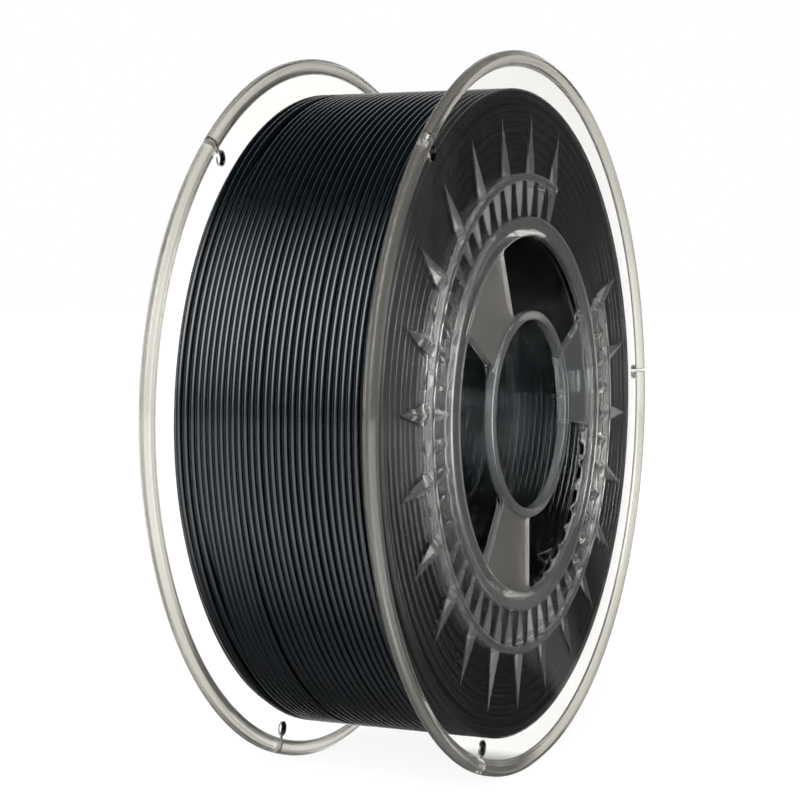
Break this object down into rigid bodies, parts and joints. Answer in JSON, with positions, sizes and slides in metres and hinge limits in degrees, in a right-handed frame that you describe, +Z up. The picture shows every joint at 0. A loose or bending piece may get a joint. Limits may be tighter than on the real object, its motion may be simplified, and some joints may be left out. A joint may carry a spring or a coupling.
{
  "type": "filament spool",
  "caption": "Clear plastic spool with ribbed flanges and a spoked hub, wound full of glossy black 3D printing filament.",
  "frame": {"origin": "centre of the spool, on the axis of its bore", "axes": "Y along the bore, with the viewed flange at -Y; +Z up; X to the right as seen from the viewed flange"},
  "size_m": [0.2, 0.0672, 0.2],
  "materials": {
    "clear_plastic": "clear, polished",
    "filament": "gloss black"
  },
  "bodies": {
    "root": {"front_half": "clear_plastic", "rear_half": "clear_plastic", "filament_core": "filament", "filament_outer_layer": "filament"}
  },
  "joints": []
}
